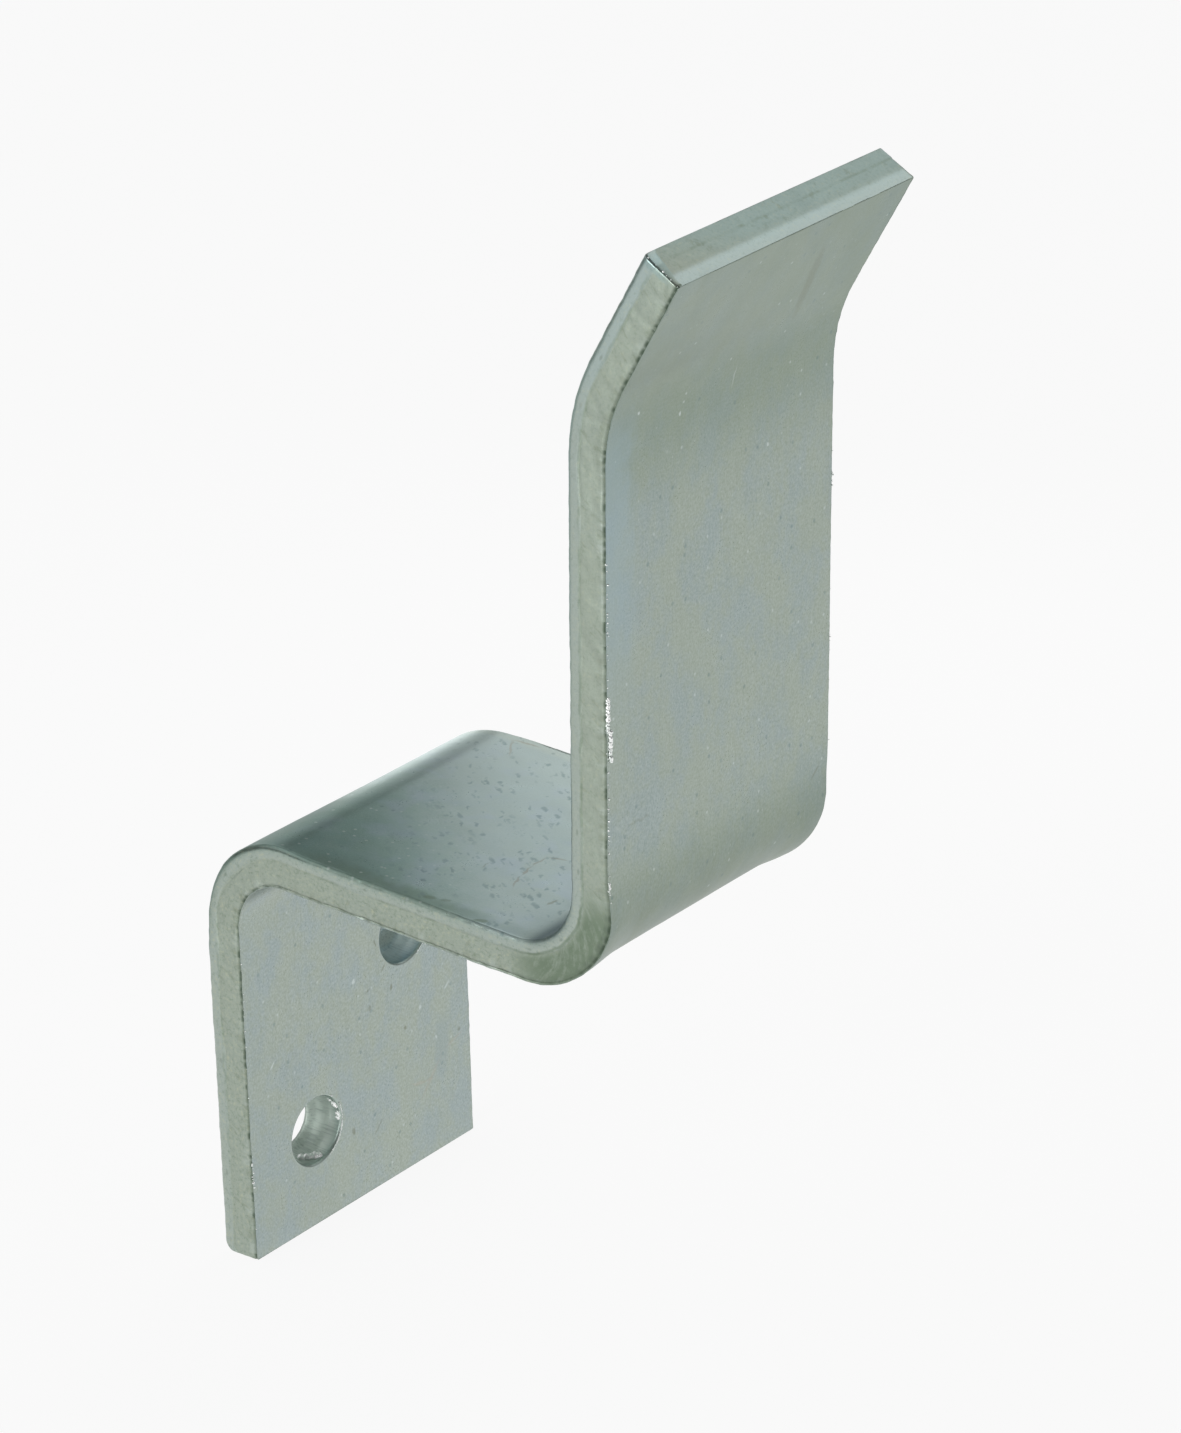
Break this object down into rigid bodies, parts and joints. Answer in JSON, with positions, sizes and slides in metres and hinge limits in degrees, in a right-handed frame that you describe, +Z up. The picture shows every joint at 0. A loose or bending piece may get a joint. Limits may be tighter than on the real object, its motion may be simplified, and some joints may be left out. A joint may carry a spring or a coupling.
{
  "type": "door bar bracket",
  "caption": "Open bracket bent from one zinc-plated steel strip: wall plate with screw holes, shelf for a door bar, upright and outward lip.",
  "frame": {"origin": "on the wall plane (the plate's back face), midway between the two screw holes", "axes": "+Z up along the plate, +X along the door bar, +Y into the wall, so the bracket stands out of the wall towards -Y"},
  "size_m": [0.0382, 0.0668, 0.1299],
  "materials": {
    "zinc_plated_steel": "satin zinc plating over sheared and bent mild steel, grey with faint blue and green patches"
  },
  "bodies": {
    "root": {"bracket": "zinc_plated_steel"}
  },
  "joints": []
}
